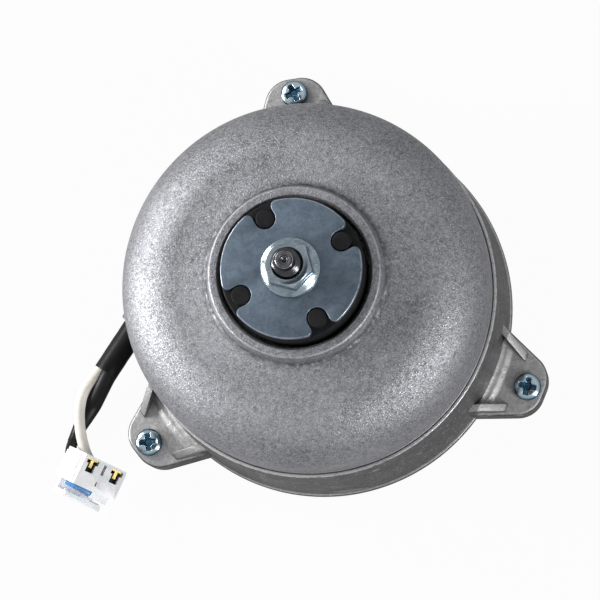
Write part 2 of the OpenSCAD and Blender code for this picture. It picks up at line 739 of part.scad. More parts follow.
module connector_retainer() color("royalblue") plug_place()
    translate([-retainer_w / 2, -plug_h / 2 - retainer_t, retainer_back - plug_l])
        cube([retainer_w, retainer_t, retainer_l]);

front_shell();
body_shell();
rear_cover();
lug_screws();
through_bolts();
stator_core();
stator_coils();
front_insulator();
rear_insulator();
drive_board();
board_parts();
board_screws();
rotor_core();
magnet_ring();
shaft();
front_bearing_outer();
front_bearing_inner();
front_bearing_balls();
front_bearing_cage();
rear_bearing_outer();
rear_bearing_inner();
rear_bearing_balls();
rear_bearing_cage();
wave_washer();
spacer_sleeve();
drive_flange();
hub_bush();
rubber_damper();
clamp_disc();
flange_nut();
lead_grommet();
lead_sleeve();
white_wire();
black_wire();
connector_housing();
connector_contacts();
connector_retainer();
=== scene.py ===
# %% [markdown]
# # A fan motor with a cast housing
#
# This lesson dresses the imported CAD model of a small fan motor. The CAD holds the sizes and the
# moving parts; the cells below give each visible piece its real edges, casting marks and finish.
# Every piece is placed in the CAD's own frame: the shaft is +Z and the rear face is z = 0.

# %% Load the frame
import math

import bmesh
import bpy
from mathutils import Matrix, Vector, noise
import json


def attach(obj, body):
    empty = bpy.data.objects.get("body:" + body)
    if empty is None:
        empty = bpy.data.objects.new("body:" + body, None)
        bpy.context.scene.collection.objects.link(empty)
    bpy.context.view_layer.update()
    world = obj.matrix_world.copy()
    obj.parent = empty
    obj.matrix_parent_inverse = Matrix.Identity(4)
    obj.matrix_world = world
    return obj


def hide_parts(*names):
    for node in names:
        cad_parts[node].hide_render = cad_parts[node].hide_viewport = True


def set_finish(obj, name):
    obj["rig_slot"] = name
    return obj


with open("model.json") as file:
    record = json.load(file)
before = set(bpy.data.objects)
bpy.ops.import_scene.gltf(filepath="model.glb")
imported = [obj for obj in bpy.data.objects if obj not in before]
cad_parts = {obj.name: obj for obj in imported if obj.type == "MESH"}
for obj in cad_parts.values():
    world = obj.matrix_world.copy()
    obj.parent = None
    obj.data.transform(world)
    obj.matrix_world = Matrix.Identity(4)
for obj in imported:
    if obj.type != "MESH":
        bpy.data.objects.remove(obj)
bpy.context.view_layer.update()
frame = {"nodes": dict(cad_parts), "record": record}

mm = 0.001
housing, rotor = "housing", "rotor"

# %% [markdown]
# ## The camera
#
# The photograph looks almost straight down the shaft from a little below and to the right. A long
# lens far away keeps the round housing round. The three axes were fitted to the circles seen.

# %% Set the camera
view_right = Vector((0.98240384, -0.12806993, -0.13594405))
view_up = Vector((0.14905548, 0.97620644, 0.15749112))
view_ahead = Vector((-0.11253958, 0.17498309, -0.97811848))
lens = bpy.data.cameras.new("photo_camera")
lens.lens = 167.877
lens.sensor_width = 36
lens.clip_start, lens.clip_end = 0.05, 20
camera = bpy.data.objects.new("photo_camera", lens)
bpy.context.scene.collection.objects.link(camera)
turn = Matrix((view_right, view_up, -view_ahead)).transposed().to_4x4()
camera.matrix_world = Matrix.Translation(Vector((91.28, -149.26, 860.69)) * mm) @ turn
bpy.context.scene.camera = camera
bpy.context.scene.view_settings.view_transform = "Standard"
print("camera at", [round(v, 3) for v in camera.matrix_world.translation])

# %% [markdown]
# ## The two wires
#
# Two insulated wires leave the wall through a sleeve, cross once and turn up into the connector.
# A curve with a round bevel is the plainest way to make a wire: its line is the real route, so
# its length can be measured. The few route points are the CAD's, and a Catmull-Rom curve rounds
# them, because it passes through every point. The thickness is set as each point's radius: a
# curve's box grows by that radius, so the box then fits the wire.

# %% Round the route and make a wire
def rounded_route(points, per_span=8):
    ends = [2 * points[0] - points[1]] + points + [2 * points[-1] - points[-2]]
    route = []
    for a, b, c, d in zip(ends, ends[1:], ends[2:], ends[3:]):
        for k in range(per_span):
            t = k / per_span
            route.append(0.5 * (2 * b + (c - a) * t + (2 * a - 5 * b + 4 * c - d) * t ** 2
                                + (3 * b - a - 3 * c + d) * t ** 3))
    return route + [points[-1]]


def wire(name, points, diameter, node, slot):
    route = rounded_route([Vector(p) * mm for p in points])
    curve = bpy.data.curves.new(name, "CURVE")
    curve.dimensions = "3D"
    curve.bevel_depth = 1.0
    curve.bevel_resolution = 6
    curve.use_fill_caps = True
    spline = curve.splines.new("POLY")
    spline.points.add(len(route) - 1)
    for place, point in zip(spline.points, route):
        place.co = (*point, 1)
        place.radius = diameter / 2
    piece = bpy.data.objects.new(name, curve)
    bpy.context.scene.collection.objects.link(piece)
    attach(piece, housing)
    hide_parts(node)
    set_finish(piece, slot)
    length = sum((b - a).length for a, b in zip(route, route[1:]))
    print(name, "is", round(length / mm, 1), "mm long")
    return piece


# %% Lay the white and the black wire
white_points = [(-58.6, 6.2, 8), (-61.2, 3.2, 8), (-63.8, 0.2, 8), (-66.5, -2.9, 8), (-69.1, -5.9, 8),
                (-71.7, -8.7, 8), (-74.4, -11, 7.8), (-77, -13.3, 7.2), (-79.1, -16.2, 6.4),
                (-80.4, -19.6, 5.7), (-81.1, -23.3, 5.3), (-81.3, -27, 4.9), (-81.1, -30.6, 4.4),
                (-80.5, -34, 4.2), (-79.3, -37, 4.7), (-77.9, -39.2, 6), (-76.9, -40.4, 7.5)]
black_points = [(-58.6, 1, 8), (-61.2, -2, 8), (-63.9, -5.1, 8), (-66.5, -8.1, 8), (-69.1, -11.1, 7.6),
                (-71.5, -13.9, 6.3), (-73.9, -16.7, 4.5), (-76.4, -19.6, 2.8), (-79.1, -22.6, 1.9),
                (-81.7, -25.5, 1.8), (-83.8, -28.3, 2.1), (-85, -31.1, 3.4), (-85.1, -33.5, 5.7),
                (-84.4, -35.2, 8.4), (-83.1, -36.2, 11)]
white_wire = wire("white_lead_wire", white_points, 0.0034, "white_wire", "white_insulation")
black_wire = wire("black_lead_wire", black_points, 0.0034, "black_wire", "black_insulation")

# %% [markdown]
# ## Tools for turned and cast shapes
#
# Most of the motor is round, so most pieces start as a half profile that is spun around an axis.
# A profile is written as corners with a fillet radius each, as a pattern maker would draw it.
# A real casting has no sharp edge, and these small radii are what catches the light.

# %% Fillet the corners of a profile
def filleted(corners, steps=6):
    points = []
    for i, (x, z, radius) in enumerate(corners):
        if radius == 0:
            points.append((x, z))
            continue
        corner = Vector((x, z))
        back = Vector(corners[i - 1][:2]) - corner
        ahead = Vector(corners[(i + 1) % len(corners)][:2]) - corner
        half = back.angle(ahead) / 2
        back.normalize()
        ahead.normalize()
        centre = corner + (back + ahead).normalized() * (radius / math.sin(half))
        start = corner + back * (radius / math.tan(half)) - centre
        end = corner + ahead * (radius / math.tan(half)) - centre
        sweep = start.angle(end)
        for k in range(steps + 1):
            t = k / steps
            points.append(tuple(centre + (math.sin((1 - t) * sweep) * start
                                          + math.sin(t * sweep) * end) / math.sin(sweep)))
    return points


# %% Spin rows of points into a surface
def ring(radius, height, count):
    return [Vector((radius * math.cos(math.tau * k / count), radius * math.sin(math.tau * k / count), height))
            for k in range(count)]


def skin_rows(bm, rows, close_rows=False):
    count = len(rows[0])
    made = [[bm.verts.new(Vector(p) * mm) for p in row] for row in rows]
    pairs = list(zip(made, made[1:])) + ([(made[-1], made[0])] if close_rows else [])
    for low, high in pairs:
        for k in range(count):
            n = (k + 1) % count
            bm.faces.new((low[k], low[n], high[n], high[k]))
    return made


def lathe(bm, profile, segments, place=None):
    place = place or Matrix.Identity(4)
    rows = [[place @ point for point in ring(radius, height, segments)] for radius, height in profile]
    skin_rows(bm, rows, close_rows=True)


# %% Finish a mesh and hang it on its body
def piece_from(bm, name, body, slot, nodes=(), sharp_above=38):
    bmesh.ops.recalc_face_normals(bm, faces=bm.faces)
    mesh = bpy.data.meshes.new(name)
    bm.to_mesh(mesh)
    bm.free()
    mesh.polygons.foreach_set("use_smooth", [True] * len(mesh.polygons))
    mesh.set_sharp_from_angle(angle=math.radians(sharp_above))
    piece = bpy.data.objects.new(name, mesh)
    bpy.context.scene.collection.objects.link(piece)
    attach(piece, body)
    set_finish(piece, slot)
    if nodes:
        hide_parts(*nodes)
    print(name, "has", len(mesh.polygons), "faces")
    return piece


# %% [markdown]
# ## The domed front shell
#
# The front is one aluminium casting: a flat face that rolls over a wide shoulder into the side
# wall, and a raised boss around a deep recess. The roll is a quarter ellipse. It could be
# carved or subdivided, but a spun profile keeps the CAD's exact radii.

# %% Spin the front shell
split_z = 36
face_z, turn_z, shoulder_h = 69.0, 68.2, 18
face_r, shell_r = 36, 54.7
recess_and_boss = filleted([
    (6, 57, 0), (6, 62, 0.4), (22.1, 62, 1.0), (22.1, 72.5, 0.2), (22.75, 73.3, 0.35),
    (25.2, 73.3, 0.8), (26.4, face_z, 1.5), (face_r, turn_z, 0)])
shoulder_steps = 56
roll = [(face_r + (shell_r - face_r) * math.sin(math.pi / 2 * k / shoulder_steps),
         turn_z - shoulder_h + shoulder_h * math.cos(math.pi / 2 * k / shoulder_steps))
        for k in range(1, shoulder_steps + 1)]
foot = filleted([(shell_r, split_z + 8, 0), (shell_r, split_z + 1.2, 0.3), (54.1, split_z + 0.5, 0.2),
                 (54.0, split_z, 0), (51.2, split_z, 0), (50.5, 52, 0), (36, 62, 0), (24, 60, 0)])
front = bmesh.new()
lathe(front, recess_and_boss + roll + foot, 288)
front_casting = piece_from(front, "front_casting", housing, "cast_front", ["front_shell"], 45)

# %% [markdown]
# ## The body shell and its lugs
#
# Behind the dome sits a second casting with a thin rim, a wall with draft, and three screw lugs.
# A lug is a flat pad with rounded edges, a step and a cove where it runs into the wall, and a
# sloping rib along each side. The pad is made as rings of its outline whose height comes from one
# function, so that the step and the cove are smooth forms and not stacked blocks.

# %% Outline of a lug
lug_in, lug_screw, lug_root, lug_side, lug_corner = 53, 68.5, 15.8, 1.7, 8.2
lug_corner_x = 65.6
lug_bottom, lug_top = 2.7, 8.5
lug_angles = [math.radians(90 + 120 * k) for k in range(3)]


def lug_outline():
    reach, drop = lug_corner_x - lug_in, lug_root - lug_side
    slope = math.asin(lug_corner / math.hypot(reach, drop)) - math.atan2(drop, reach)
    corner = []
    for k in range(15):
        a = (math.pi / 2 + slope) * (1 - k / 14)
        corner.append(Vector((lug_corner_x + lug_corner * math.cos(a), lug_side + lug_corner * math.sin(a))))
    half = [Vector((lug_in, lug_root))] + corner
    loop = half + [Vector((p.x, -p.y)) for p in reversed(half)]
    fine = []
    for a, b in zip(loop, loop[1:] + loop[:1]):
        parts = max(1, round((b - a).length / 0.8))
        fine += [a.lerp(b, k / parts) for k in range(parts)]
    return fine


outline = lug_outline()
print("lug outline has", len(outline), "points, tip at", round(max(p.x for p in outline), 2))


# %% Height of a lug's top
def lug_height(x, y):
    out = math.hypot(x, y)
    step_r, step_w, cove = 59.0, 2.2, 2.8
    height = lug_top + 0.06 * noise.noise(Vector((x, y, 3)) * 0.5)
    if out < step_r + step_w:
        t = min(1, (step_r + step_w - out) / step_w)
        height += 0.8 * t * t * (3 - 2 * t)
    if out < step_r:
        t = min(0.995, (step_r - out) / cove)
        height += 2.8 * (1 - math.sqrt(1 - t * t))
    return height


# %% Build one lug and its two ribs
edge_round, pad_rings, pad_middle = 0.9, 33, Vector((65, 0))
rib_inset, rib_t, rib_end, rib_fall, rib_foot, rib_low, rib_high = 0.2, 2.6, 65.0, 0.50, 5.5, 1.2, 7


def add_lug(bm, angle):
    spin = Matrix.Rotation(angle, 4, "Z")
    inward = []
    for before, after in zip(outline[-1:] + outline[:-1], outline[1:] + outline[:1]):
        along = (after - before).normalized()
        inward.append(Vector((along.y, -along.x)))
    rows = [[spin @ Vector((p.x, p.y, lug_bottom)) for p in outline]]
    for share in (0.35, 0.75):
        rows.append([spin @ Vector((p.x, p.y, lug_bottom + share * (lug_top - edge_round - lug_bottom)))
                     for p in outline])
    for k in range(7):
        a = math.pi / 2 * k / 6
        drawn_in = [p + n * edge_round * (1 - math.cos(a)) for p, n in zip(outline, inward)]
        rows.append([spin @ Vector((p.x, p.y, lug_height(p.x, p.y) - edge_round * (1 - math.sin(a))))
                     for p in drawn_in])
    for k in range(1, pad_rings + 1):
        level = [pad_middle + (p - pad_middle) * (1 - k / (pad_rings + 0.2)) for p in drawn_in]
        rows.append([spin @ Vector((p.x, p.y, lug_height(p.x, p.y))) for p in level])
    made = skin_rows(bm, rows)
    bm.faces.new(made[-1])
    bm.faces.new(list(reversed(made[0])))


def add_rib(bm, angle, side):
    spin = Matrix.Rotation(angle, 4, "Z")
    side_view = [(lug_in, rib_foot), (rib_end, rib_foot), (rib_end, lug_top + rib_low),
                 (57.9, lug_top + rib_high), (lug_in, lug_top + rib_high)]
    faces = []
    for outer in (lug_root - rib_inset, lug_root - rib_inset - rib_t):
        faces.append([bm.verts.new(spin @ Vector((x, side * (outer - (x - lug_in) * rib_fall), z)) * mm)
                      for x, z in side_view])
    made = [bm.faces.new(faces[0]), bm.faces.new(list(reversed(faces[1])))]
    for k in range(5):
        n = (k + 1) % 5
        made.append(bm.faces.new((faces[0][k], faces[0][n], faces[1][n], faces[1][k])))
    edges = {e for f in made for e in f.edges}
    bmesh.ops.bevel(bm, geom=list(edges), offset=0.28 * mm, segments=3, profile=0.6, affect="EDGES")


# %% Spin the wall, add lugs and the lead's outlet
lead_place = (Matrix.Translation((-57.3, 5.1, 8)) @ Matrix.Rotation(math.radians(229), 4, "Z")
              @ Matrix.Rotation(math.pi / 2, 4, "Y"))
body = bmesh.new()
lathe(body, filleted([(52, split_z, 0), (54.75, split_z, 0.25), (54.75, split_z - 0.7, 0.2),
                      (55.1, split_z - 0.7, 0)])
      + filleted([(55.1, split_z, 0.05), (55.9, split_z, 0.35), (57.85, lug_bottom, 0.5), (54, lug_bottom, 0),
                  (52, lug_bottom, 0)]), 288)
for lug_angle in lug_angles:
    add_lug(body, lug_angle)
    add_rib(body, lug_angle, 1)
    add_rib(body, lug_angle, -1)
lathe(body, filleted([(4.0, -2.5, 0), (5.35, -2.5, 0), (5.35, 3, 0.6), (4.0, 3, 0.25)]), 96, lead_place)
body_casting = piece_from(body, "body_casting", housing, "cast_body", ["body_shell"], 45)

# %% Stamp the back plate
def plate(bm, edge, bottom, top, radius, clockwise=False):
    turn_in = -1 if clockwise else 1
    inward = []
    for before, after in zip(edge[-1:] + edge[:-1], edge[1:] + edge[:1]):
        along = (after - before).normalized()
        inward.append(turn_in * Vector((-along.y, along.x)))
    rows = []
    for height, drawn in [(bottom, radius * 0.6), (bottom + radius * 0.6, 0), (top - radius, 0),
                          (top - radius * 0.45, radius * 0.2), (top - radius * 0.12, radius * 0.55),
                          (top, radius)]:
        rows.append([Vector((*(p + n * drawn), height)) for p, n in zip(edge, inward)])
    made = skin_rows(bm, rows)
    bm.faces.new(made[-1])
    bm.faces.new(list(reversed(made[0])))


back = bmesh.new()
lathe(back, filleted([(0.01, 0, 0), (58.5, 0, 0.3), (58.5, 2.5, 0.5), (51.4, 2.5, 0), (51.4, 4, 0.3),
                      (49.6, 4, 0.3),
                      (49.6, 2.5, 0), (0.01, 2.5, 0)]), 288)
for lug_angle in lug_angles:
    spin = Matrix.Rotation(lug_angle, 2)
    plate(back, [spin @ p for p in outline], 0, 2.5, 0.35, clockwise=True)
back_plate = piece_from(back, "stamped_back_plate", housing, "cast_body", ["rear_cover"], 40)

# %% [markdown]
# ## Rubber damper and clamp disc
#
# The fan wheel's hub sits on a rubber damper whose four pegs stand in the open notches of a zinc
# plated disc. The damper is a spun ring with four domed pegs. The disc is a flat blank, so it is
# built from its plan: one ring of edge points, drawn in a little at the top for the punched edge.

# %% Mould the rubber damper
disc_bottom, disc_top = 78.0, 80.0
peg_circle, peg_r = 16.4, 2.8
peg_angles = [math.radians(20 + 90 * k) for k in range(4)]
rubber = bmesh.new()
lathe(rubber, filleted([(6.5, 65.5, 0), (20.6, 65.5, 0.8), (20.9, 71, 0.6), (20.9, disc_bottom, 0.7),
                        (6.5, disc_bottom, 0)]), 192)
for peg_angle in peg_angles:
    place = Matrix.Translation((peg_circle * math.cos(peg_angle), peg_circle * math.sin(peg_angle), 0))
    lathe(rubber, filleted([(0.01, disc_bottom - 1, 0), (peg_r, disc_bottom - 1, 0), (peg_r, disc_top, 0.55),
                            (0.01, disc_top - 0.05, 0)]), 48, place)
rubber_piece = piece_from(rubber, "moulded_damper", rotor, "black_rubber", ["rubber_damper"])


# %% Punch the clamp disc
def notched_edge():
    disc_r, width, lip = 20.5, peg_r + 0.25, 1.7
    lip_at = Vector((math.sqrt((disc_r - lip) ** 2 - (width + lip) ** 2), -width - lip))
    side = math.atan2(width + lip, lip_at.x)
    edge = []
    for peg_angle in peg_angles:
        spin = Matrix.Rotation(peg_angle, 2)
        sweep = [-side + (math.pi / 2 + side) * k / 9 for k in range(10)]
        half_notch = [lip_at + lip * Vector((math.cos(a), math.sin(a))) for a in sweep]
        half_notch += [Vector((peg_circle + (lip_at.x - peg_circle) * (1 - k / 3), -width)) for k in (1, 2)]
        notch = half_notch + [Vector((peg_circle - width * math.sin(math.pi * k / 20),
                                      -width * math.cos(math.pi * k / 20))) for k in range(21)]
        notch += [Vector((p.x, -p.y)) for p in reversed(half_notch)]
        edge += [spin @ p for p in notch]
        step = (math.pi / 2 - 2 * side) / 26
        edge += [Vector((disc_r * math.cos(peg_angle + side + step * k),
                         disc_r * math.sin(peg_angle + side + step * k))) for k in range(1, 26)]
    return edge


disc = bmesh.new()
plate(disc, notched_edge(), disc_bottom, disc_top, 0.3)
disc_piece = piece_from(disc, "punched_disc", rotor, "zinc_disc", ["clamp_disc"], 30)

# %% [markdown]
# ## Flange nut and threaded shaft end
#
# The nut is a hexagon with a turned flange and a chamfered top. It is drawn in polar rows: each
# row gives a radius and a height for every angle, so the hexagon's corners stay slightly round.
# The thread is a real helix in the mesh: the radius follows a saw tooth that climbs with the angle.

# %% Forge the flange nut
nut_seat, nut_top, nut_half = 80.0, 88.0, 6.5
nut_turn = math.radians(37)


def hexagon(angle, power=46):
    total = sum(max(0, math.cos(angle - nut_turn - math.pi / 6 - k * math.pi / 3)) ** power for k in range(6))
    return nut_half / total ** (1 / power)


def nut_rows(count=192):
    rows = []
    land, cone = 6.05, math.tan(math.radians(30))
    for level in range(15):
        row = []
        for k in range(count):
            a = math.tau * k / count
            flat = hexagon(a)
            r, z = [(4.05, nut_seat), (8.55, nut_seat), (8.8, nut_seat + 0.25), (8.8, nut_seat + 1.1),
                    (8.65, nut_seat + 1.35), (8.2, nut_seat + 1.5),
                    (flat + 0.35, nut_seat + 2.75 - 0.5 * (flat - 6)),
                    (flat, nut_seat + 3.1 - 0.5 * (flat - 6)), (flat, nut_top - 0.25 - (flat - land) * cone),
                    (flat - 0.12, nut_top - (flat - 0.12 - land) * cone), (land + 0.15, nut_top - 0.1),
                    (land - 0.15, nut_top), (4.75, nut_top), (4.1, nut_top - 0.6), (4.05, nut_top - 2)][level]
            row.append(Vector((r * math.cos(a), r * math.sin(a), z)))
        rows.append(row)
    return rows


nut = bmesh.new()
skin_rows(nut, nut_rows(), close_rows=True)
nut_piece = piece_from(nut, "forged_nut", rotor, "zinc_nut", ["flange_nut"], 32)

# %% Cut the thread and turn the shaft's end
thread_r, thread_pitch, thread_depth, thread_end, tip_r, tip_top = 4.0, 1.25, 0.6, 92.8, 2.6, 94.0


def thread_radius(angle, height):
    tooth = (height / thread_pitch - angle / math.tau) % 1
    wave = 1 - abs(2 * tooth - 1)
    cut = min(1, max(0, (wave - 0.12) / 0.76))
    return min(thread_r - thread_depth * cut, thread_end + thread_r - 0.75 - height)


shaft = bmesh.new()
count, shaft_end, thread_start, level_step = 96, 15, 85, 0.1
rows = [ring(0.4, shaft_end, count), ring(thread_r, shaft_end, count)]
for level in range(78):
    height = thread_start + level * level_step
    row = []
    for k in range(count):
        a = math.tau * k / count
        row.append(Vector((thread_radius(a, height) * math.cos(a), thread_radius(a, height) * math.sin(a),
                           height)))
    rows.append(row)
turned = filleted([(3.2, thread_end - 0.05, 0), (3.05, thread_end, 0), (tip_r + 0.05, thread_end, 0.1),
                   (tip_r, tip_top, 0.25),
                   (1.55, tip_top, 0.1), (1.45, tip_top - 0.12, 0.1), (0.95, tip_top - 0.12, 0.1),
                   (0.3, tip_top - 0.7, 0)])
rows += [ring(radius, height, count) for radius, height in turned]
ends = skin_rows(shaft, rows)
shaft.faces.new(ends[-1])
shaft.faces.new(list(reversed(ends[0])))
shaft_piece = piece_from(shaft, "turned_shaft", rotor, "bright_steel", ["shaft"], 35)

# %% [markdown]
# ## Lug screws
#
# Each lug holds a zinc plated pan head screw with a cross recess. The head is one fine polar
# grid: its dome is an arc, and the recess is sunk by a function that is deepest in the middle and
# fades at the ends of the four arms, as the punch leaves it.

# %% Cold-form a pan head with a cross recess
head_r, head_h = 4.2, 2.8
screw_turns = [0.35, 1.0, 0.15]


def fade(value, low, high):
    t = min(1, max(0, (value - low) / (high - low)))
    return t * t * (3 - 2 * t)


def head_height(x, y):
    out = math.hypot(x, y)
    crown = head_h - 1.5 * (1 - math.sqrt(max(0, 1 - (out / (head_r + 0.02)) ** 2.6)))
    arm = min(abs(x), abs(y))
    reach = max(abs(x), abs(y))
    inside = (1 - fade(arm, 0.55, 0.95)) * (1 - fade(reach, 2.3, 2.95))
    flare = 1 - fade(out, 1.0, 1.6)
    sunk = max(inside * (1.6 - 0.3 * reach), flare * 1.6)
    return crown - sunk


def add_head(bm, angle, cross):
    place = Matrix.Rotation(angle, 4,
                            "Z") @ Matrix.Translation((lug_screw, 0, lug_top)) @ Matrix.Rotation(cross, 4,
                                                                                                 "Z")
    count, rows = 144, []
    for radius in [0.05] + [0.1 * k for k in range(1, 41)] + [4.08, 4.15]:
        row = []
        for k in range(count):
            x, y = radius * math.cos(math.tau * k / count), radius * math.sin(math.tau * k / count)
            row.append(place @ Vector((x, y, head_height(x, y))))
        rows.append(row)
    for radius, height in [(4.2, 1.05), (4.2, 0.35), (4.1, 0.1), (3.7, 0.02), (2.0, 0.02), (1.95, -7),
                           (1.6, -8.3)]:
        rows.append([place @ point for point in ring(radius, height, count)])
    made = skin_rows(bm, rows)
    bm.faces.new(made[-1])
    bm.faces.new(list(reversed(made[0])))


screws = bmesh.new()
for lug_angle, cross in zip(lug_angles, screw_turns):
    add_head(screws, lug_angle, cross)
screw_piece = piece_from(screws, "pan_head_screws", housing, "zinc_screw", ["lug_screws"], 50)

# %% [markdown]
# ## Sleeve on the lead
#
# A short length of soft dark tubing holds the two wires where they leave the wall. It is not a
# perfect pipe: it is pressed a little oval, wavers along its length and is cut at a slant. A second
# tube on the black wire shows beyond its end. Rows of points around an axis carry the small errors.

# %% Slip the sleeve over the wires
sleeve_r, sleeve_wall, sleeve_from, sleeve_to = 3.95, 0.42, 1.2, 20.2


def sleeve_row(share, radius, count=64, back=0.0):
    row = []
    for k in range(count):
        a = math.tau * k / count
        tongue = 2.0 * max(0.0, math.cos(a - math.radians(62))) ** 2
        t = sleeve_from + (sleeve_to - back + tongue - sleeve_from) * share
        dent = 0.14 * (0.5 + 0.5 * noise.noise(Vector((2 * math.cos(a), 2 * math.sin(a), t * 0.35))))
        oval = 0.05 * (1 + math.cos(2 * a))
        row.append(lead_place @ Vector(((radius - dent - oval) * math.cos(a), (radius - dent) * math.sin(a),
                                        t)))
    return row


tube = bmesh.new()
steps = 48
outer = [sleeve_row(k / steps, sleeve_r, back=0.15) for k in range(steps + 1)]
lip = [sleeve_row(1, sleeve_r - 0.1), sleeve_row(1, sleeve_r - sleeve_wall + 0.05)]
inner = [sleeve_row(1 - k / steps, sleeve_r - sleeve_wall, back=0.1) for k in range(steps + 1)]
skin_rows(tube, outer + lip + inner, close_rows=True)
sleeve_piece = piece_from(tube, "lead_tubing", housing, "sleeve_plastic", ["lead_sleeve"], 50)

# %% Tube on the black wire
def inner_tube_rows(first, last, count=32):
    route = rounded_route([Vector(p) for p in black_points])
    rows, span = [], last - first
    for i in range(first, last + 1):
        share = (i - first) / span
        radius = 2.75 - 0.95 * fade(share, 0.55, 1.0)
        ahead = (route[i + 1] - route[i - 1]).normalized()
        out = Vector((0, 0, 1)).cross(ahead).normalized()
        up = ahead.cross(out)
        centre = route[i] - out * 0.7 * (1 - fade(share, 0.5, 1.0))
        centre.z = max(centre.z, radius + 0.1)
        rows.append([centre + radius * (math.cos(math.tau * k / count) * out + math.sin(math.tau * k / count) * up)
                     for k in range(count)])
    return rows


inner_tube = bmesh.new()
ends = skin_rows(inner_tube, inner_tube_rows(24, 84))
inner_tube.faces.new(ends[-1])
inner_tube.faces.new(list(reversed(ends[0])))
inner_tube_piece = piece_from(inner_tube, "black_wire_tube", housing, "sleeve_plastic", (), 50)

# %% [markdown]
# ## The connector
#
# The housing is one white nylon moulding: a block with two chambers, a slot between them, side
# rails, and a lock lever below that is joined at the wire end. Straight moulded parts are quickest
# as boxes joined and cut with the Boolean modifier, followed by a Bevel for the mould's radii.
# The modifiers are applied at once, so that the piece is a plain mesh like all others.

# %% Place of the connector
plug_place = (Matrix.Translation((-72.8, -45, 25)) @ Matrix.Rotation(math.radians(-32.9), 4, "Z")
              @ Matrix.Rotation(math.radians(30.7), 4, "Y"))
plug_w, plug_h, plug_l, cell_x, cell_y = 14.9, 9.9, 20, 4.2, 1.95


def box_tool(name, size, centre):
    bm = bmesh.new()
    bmesh.ops.create_cube(bm, size=1,
                          matrix=plug_place @ Matrix.Translation(centre) @ Matrix.Diagonal((*size, 1)))
    bmesh.ops.scale(bm, vec=(mm, mm, mm), verts=bm.verts)
    mesh = bpy.data.meshes.new(name)
    bm.to_mesh(mesh)
    bm.free()
    piece = bpy.data.objects.new(name, mesh)
    bpy.context.scene.collection.objects.link(piece)
    return piece


# %% Join, cut and bevel boxes
def moulded(name, joined, cuts, bevel, slot, nodes=()):
    tools = [box_tool(name + "_tool", size, centre) for size, centre in joined[1:] + cuts]
    base = box_tool(name, *joined[0])
    for k, tool in enumerate(tools):
        step = base.modifiers.new("join", "BOOLEAN")
        step.operation = "UNION" if k < len(joined) - 1 else "DIFFERENCE"
        step.object = tool
        step.solver = "EXACT"
    rounder = base.modifiers.new("mould_radius", "BEVEL")
    rounder.width = bevel * mm
    rounder.segments = 3
    rounder.limit_method = "ANGLE"
    rounder.angle_limit = math.radians(40)
    rounder.use_clamp_overlap = True
    bpy.context.view_layer.update()
    made = bpy.data.meshes.new_from_object(base.evaluated_get(bpy.context.evaluated_depsgraph_get()))
    for extra in tools + [base]:
        bpy.data.objects.remove(extra)
    bm = bmesh.new()
    bm.from_mesh(made)
    return piece_from(bm, name, housing, slot, nodes, 32)


# %% Mould the housing with its lock lever
housing_boxes = [((plug_w - 0.7, plug_h, plug_l), (0, 0, -plug_l / 2)),
                 ((plug_w, 4.4, plug_l - 4.3), (0, 1.6, -plug_l / 2 - 1.9)),
                 ((plug_w, 2.2, plug_l - 2.2), (0, -3.2, -plug_l / 2 - 1.1)),
                 ((12.2, 1.5, 11.6), (0, -8.9, -12.9)), ((12.2, 4.6, 2.2), (0, -6.9, -17.9)),
                 ((12.2, 1.7, 1.3), (0, -8.8, -7.0)), ((12.2, 2.0, 1.2), (0, -8.6, -8.9)),
                 ((3.0, 1.8, 1.6), (0.4, -7.4, -7.4)),
                 ((5.4, 2.3, 9.0), (3.6, -5.8, -8.4))]
housing_cuts = [((3.9, 1.5, plug_l + 3), (side * cell_x, cell_y + 1.45, -plug_l / 2)) for side in (-1, 1)]
housing_cuts += [((2.6, 3.6, plug_l + 3), (side * cell_x, cell_y - 0.2, -plug_l / 2)) for side in (-1, 1)]
housing_cuts += [((0.9, 3.4, 7), (0, 2.4, -2)), ((0.5, 1.4, 5), (-0.4, -2.4, -1.5)),
                 ((2.0, 1.6, 3.4), (-cell_x, 4.9, -8.5)),
                 ((2.0, 1.6, 3.4), (cell_x, 4.9, -8.5))]
connector_piece = moulded("moulded_connector", housing_boxes, housing_cuts, 0.28, "white_nylon",
                          ["connector_housing"])

# %% Dark blocks as painted shade behind the contacts
chamber_shade_piece = moulded("chamber_shade_blocks", [((2.9, 2.5, 3.0), (-cell_x, cell_y - 0.75, -3.2)),
                                    ((2.9, 2.5, 3.0), (cell_x, cell_y - 0.75, -3.2))], [], 0.2,
                                    "black_rubber")
retainer_piece = moulded("blue_retainer", [((6.1, 1.5, 9.6), (-2.15, -5.7, -9.2))],
                         [((0.7, 1.0, 11), (-3.4, -6.6, -9))],
                         0.25, "blue_nylon", ["connector_retainer"])

# %% [markdown]
# ## Shared effects for the finishes
#
# Several finishes need the same effects: the grain of a blasted casting, cloudy patches, a ring of
# painted highlight and shade, fine scratches and settled dust. Each is a node group with named inputs
# that puts out masks or heights only. The shader stays in the material, where each finish sets its own values.

# %% Helpers for node trees
def add(tree, kind, inputs=None, **settings):
    node = tree.nodes.new(kind)
    for key, value in settings.items():
        setattr(node, key, value)
    for key, value in (inputs or {}).items():
        if isinstance(value, bpy.types.NodeSocket):
            tree.links.new(value, node.inputs[key])
        else:
            node.inputs[key].default_value = value
    return node


def effect(name, inputs, outputs):
    tree = bpy.data.node_groups.new(name, "ShaderNodeTree")
    for label, value in inputs.items():
        tree.interface.new_socket(name=label, in_out="INPUT",
                                  socket_type="NodeSocketFloat").default_value = value
    for label in outputs:
        tree.interface.new_socket(name=label, in_out="OUTPUT", socket_type="NodeSocketFloat")
    entry = tree.nodes.new("NodeGroupInput")
    leave = tree.nodes.new("NodeGroupOutput")
    return tree, entry.outputs, leave.inputs


